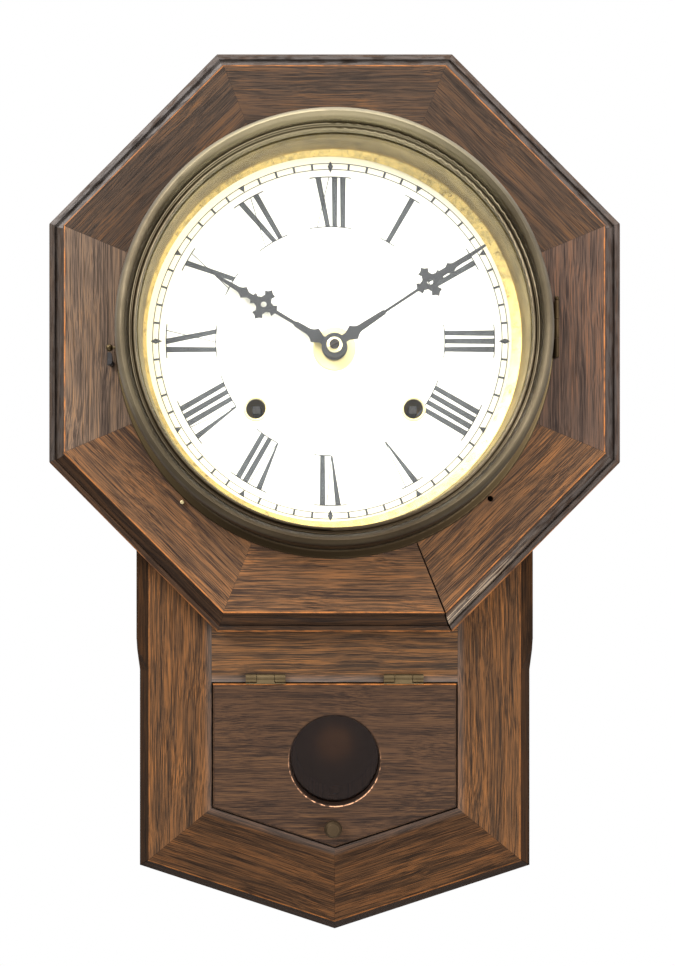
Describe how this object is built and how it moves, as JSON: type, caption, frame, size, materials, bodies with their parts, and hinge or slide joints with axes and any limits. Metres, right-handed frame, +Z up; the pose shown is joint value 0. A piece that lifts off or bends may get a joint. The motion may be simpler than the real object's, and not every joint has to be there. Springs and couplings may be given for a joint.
{
  "type": "schoolhouse wall clock",
  "caption": "Schoolhouse wall clock: octagonal oak case with drop box, hinged brass bezel and pendulum door, geared hands, striking movement and swinging pendulum.",
  "frame": {"origin": "on the case's back face, straight behind the arbor of the hands", "axes": "+Z up, +X to the right as the dial is read, front faces -Y"},
  "size_m": [0.318, 0.129, 0.4942],
  "materials": {
    "oak_top": "dark stained oak, waxed",
    "oak_top_right": "dark stained oak, waxed",
    "oak_right": "dark stained oak, waxed",
    "oak_bottom_right": "dark stained oak, waxed",
    "oak_bottom": "dark stained oak, waxed",
    "oak_bottom_left": "dark stained oak, waxed",
    "oak_left": "dark stained oak, waxed",
    "oak_top_left": "dark stained oak, waxed",
    "oak_stile_left": "dark stained oak, waxed",
    "oak_stile_right": "dark stained oak, waxed",
    "oak_top_rail": "dark stained oak, waxed",
    "oak_bottom_rail_left": "dark stained oak, waxed",
    "oak_bottom_rail_right": "dark stained oak, waxed",
    "oak_door": "dark stained oak, waxed",
    "oak_stop_strips": "stained, dull",
    "case_wood": "stained, dull",
    "backboard_wood": "bare, aged",
    "bezel_brass": "aged, satin",
    "sight_ring_brass": "aged, satin",
    "hinge_brass": "dull, darkened",
    "knob_brass": "dull, darkened",
    "small_brass": "satin",
    "catch_iron": "dark",
    "tongue_brass": "dull",
    "dial_paint": "satin cream paint",
    "hand_steel": "black, satin",
    "bezel_glass": "clear",
    "door_glass": "clear, old",
    "movement_brass": "satin",
    "movement_steel": "brushed",
    "spring_steel": "blued",
    "gong_iron": "blackened",
    "hanger_iron": "plain",
    "pendulum_wire": "plain",
    "bob_brass": "polished, aged"
  },
  "bodies": {
    "case": {"backboard": "backboard_wood", "case_side_left": "case_wood", "case_side_right": "case_wood", "case_top_board": "case_wood", "case_bottom_boards": "case_wood", "wall_hanger": "hanger_iron", "drop_stile_left": "oak_stile_left", "drop_stile_right": "oak_stile_right", "drop_top_rail": "oak_top_rail", "drop_bottom_rail_left": "oak_bottom_rail_left", "drop_bottom_rail_right": "oak_bottom_rail_right", "door_stop_strips": "oak_stop_strips", "octagon_board_top": "oak_top", "octagon_board_top_right": "oak_top_right", "octagon_board_right": "oak_right", "octagon_board_bottom_right": "oak_bottom_right", "octagon_board_bottom": "oak_bottom", "octagon_board_bottom_left": "oak_bottom_left", "octagon_board_left": "oak_left", "octagon_board_top_left": "oak_top_left", "case_pin": "small_brass", "door_hinge_case_leaves": "hinge_brass", "bezel_hinge_case_leaf": "hinge_brass", "dial_plate": "dial_paint", "dial_grommets": "small_brass", "front_plate": "movement_brass", "back_plate": "movement_brass", "plate_pillars": "movement_steel", "mainsprings": "spring_steel", "gong": "gong_iron"},
    "door": {"pendulum_door": "oak_door", "door_glass": "door_glass", "door_hinge_door_leaves": "hinge_brass"},
    "latch": {"door_knob": "knob_brass", "door_latch_tongue": "tongue_brass"},
    "bezel": {"bezel_ring": "bezel_brass", "bezel_glass": "bezel_glass", "sight_ring": "sight_ring_brass", "bezel_hinge_bezel_leaf": "hinge_brass"},
    "catch": {"bezel_catch_hook": "catch_iron"},
    "minute": {"centre_arbor": "movement_steel", "minute_hand": "hand_steel", "hand_nut": "small_brass"},
    "hour": {"hour_wheel": "movement_brass", "hour_hand": "hand_steel"},
    "minute_wheel": {"minute_wheel": "movement_brass"},
    "time_winding": {"time_winding_arbor": "movement_steel"},
    "strike_winding": {"strike_winding_arbor": "movement_steel"},
    "time_main": {"time_main_wheel": "movement_brass"},
    "time_second": {"time_second_wheel": "movement_brass"},
    "third": {"third_wheel": "movement_brass"},
    "escape": {"escape_wheel": "movement_brass"},
    "anchor": {"anchor_crutch": "movement_steel"},
    "pendulum": {"pendulum_rod": "pendulum_wire"},
    "bob": {"pendulum_bob": "bob_brass"},
    "rating_nut": {"rating_nut": "bob_brass"},
    "strike_main": {"strike_main_wheel": "movement_brass"},
    "strike_second": {"strike_second_wheel": "movement_brass"},
    "fly": {"fly": "movement_brass"},
    "hammer": {"hammer": "movement_steel"}
  },
  "joints": [
    {"name": "bezel_hinge", "type": "hinge", "parent": "case", "child": "bezel", "pos_m": [0.1208, -0.098, 0], "axis": [0, 0, 1], "range_deg": [0, 110]},
    {"name": "bezel_catch", "type": "hinge", "parent": "case", "child": "catch", "pos_m": [-0.122, -0.098, -0.008], "axis": [0, -1, 0], "range_deg": [0, 25]},
    {"name": "pendulum_door_hinge", "type": "hinge", "parent": "case", "child": "door", "pos_m": [0, -0.0741, -0.1812], "axis": [-1, 0, 0], "range_deg": [0, 110]},
    {"name": "door_latch", "type": "hinge", "parent": "door", "child": "latch", "pos_m": [-0.0008, -0.07, -0.2658], "axis": [0, 1, 0], "range_deg": [0, 180]},
    {"name": "minute_spin", "type": "hinge", "parent": "case", "child": "minute", "pos_m": [0, 0, 0], "axis": [0, 1, 0], "continuous": true},
    {"name": "hour_spin", "type": "hinge", "parent": "case", "child": "hour", "pos_m": [0, 0, 0], "axis": [0, 1, 0], "continuous": true},
    {"name": "minute_wheel_spin", "type": "hinge", "parent": "case", "child": "minute_wheel", "pos_m": [0, 0, -0.0192], "axis": [0, 1, 0], "continuous": true},
    {"name": "time_second_spin", "type": "hinge", "parent": "case", "child": "time_second", "pos_m": [0.02477, 0, -0.00464], "axis": [0, 1, 0], "continuous": true},
    {"name": "time_main_spin", "type": "hinge", "parent": "case", "child": "time_main", "pos_m": [0.0431, 0, -0.0328], "axis": [0, 1, 0], "continuous": true},
    {"name": "third_spin", "type": "hinge", "parent": "case", "child": "third", "pos_m": [-0.014, 0, 0.01697], "axis": [0, 1, 0], "continuous": true},
    {"name": "escape_spin", "type": "hinge", "parent": "case", "child": "escape", "pos_m": [0, 0, 0.03018], "axis": [0, 1, 0], "continuous": true},
    {"name": "time_winding", "type": "hinge", "parent": "case", "child": "time_winding", "pos_m": [0.0431, 0, -0.0328], "axis": [0, 1, 0], "continuous": true},
    {"name": "strike_winding", "type": "hinge", "parent": "case", "child": "strike_winding", "pos_m": [-0.0431, 0, -0.0328], "axis": [0, 1, 0], "continuous": true},
    {"name": "strike_main_spin", "type": "hinge", "parent": "case", "child": "strike_main", "pos_m": [-0.0431, 0, -0.0328], "axis": [0, 1, 0], "continuous": true},
    {"name": "strike_second_spin", "type": "hinge", "parent": "case", "child": "strike_second", "pos_m": [-0.0465, 0, 0.00063], "axis": [0, 1, 0], "continuous": true},
    {"name": "fly_spin", "type": "hinge", "parent": "case", "child": "fly", "pos_m": [-0.038, 0, 0.0183], "axis": [0, 1, 0], "continuous": true},
    {"name": "hammer_lift", "type": "hinge", "parent": "case", "child": "hammer", "pos_m": [-0.02, -0.019, -0.058], "axis": [0, 1, 0], "range_deg": [-8, 1.5], "stiffness_Nm_per_rad": 0.02, "springref_deg": 3.44},
    {"name": "pendulum_swing", "type": "hinge", "parent": "case", "child": "pendulum", "pos_m": [0, -0.019, 0.047], "axis": [0, 1, 0], "range_deg": [-4, 4]},
    {"name": "anchor_rock", "type": "hinge", "parent": "case", "child": "anchor", "pos_m": [0, -0.019, 0.047], "axis": [0, 1, 0], "range_deg": [-4, 4]},
    {"name": "bob_slide", "type": "slide", "parent": "pendulum", "child": "bob", "axis": [0, 0, 1], "range_m": [-0.0021, 0.0021]},
    {"name": "rating_nut_turn", "type": "hinge", "parent": "bob", "child": "rating_nut", "pos_m": [0, -0.019, -0.255], "axis": [0, 0, 1], "range_deg": [-1090, 1090]}
  ],
  "couplings": [
    {"joint": "hour_spin", "follows": "minute_spin", "ratio": 0.083333},
    {"joint": "minute_wheel_spin", "follows": "minute_spin", "ratio": -0.33333},
    {"joint": "time_second_spin", "follows": "minute_spin", "ratio": -0.5},
    {"joint": "time_main_spin", "follows": "minute_spin", "ratio": 0.083333},
    {"joint": "third_spin", "follows": "minute_spin", "ratio": -9},
    {"joint": "escape_spin", "follows": "minute_spin", "ratio": 90},
    {"joint": "strike_second_spin", "follows": "strike_main_spin", "ratio": -6},
    {"joint": "fly_spin", "follows": "strike_main_spin", "ratio": 36},
    {"joint": "anchor_rock", "follows": "pendulum_swing", "ratio": 1},
    {"joint": "rating_nut_turn", "follows": "bob_slide", "rad_per_m": 8976}
  ]
}
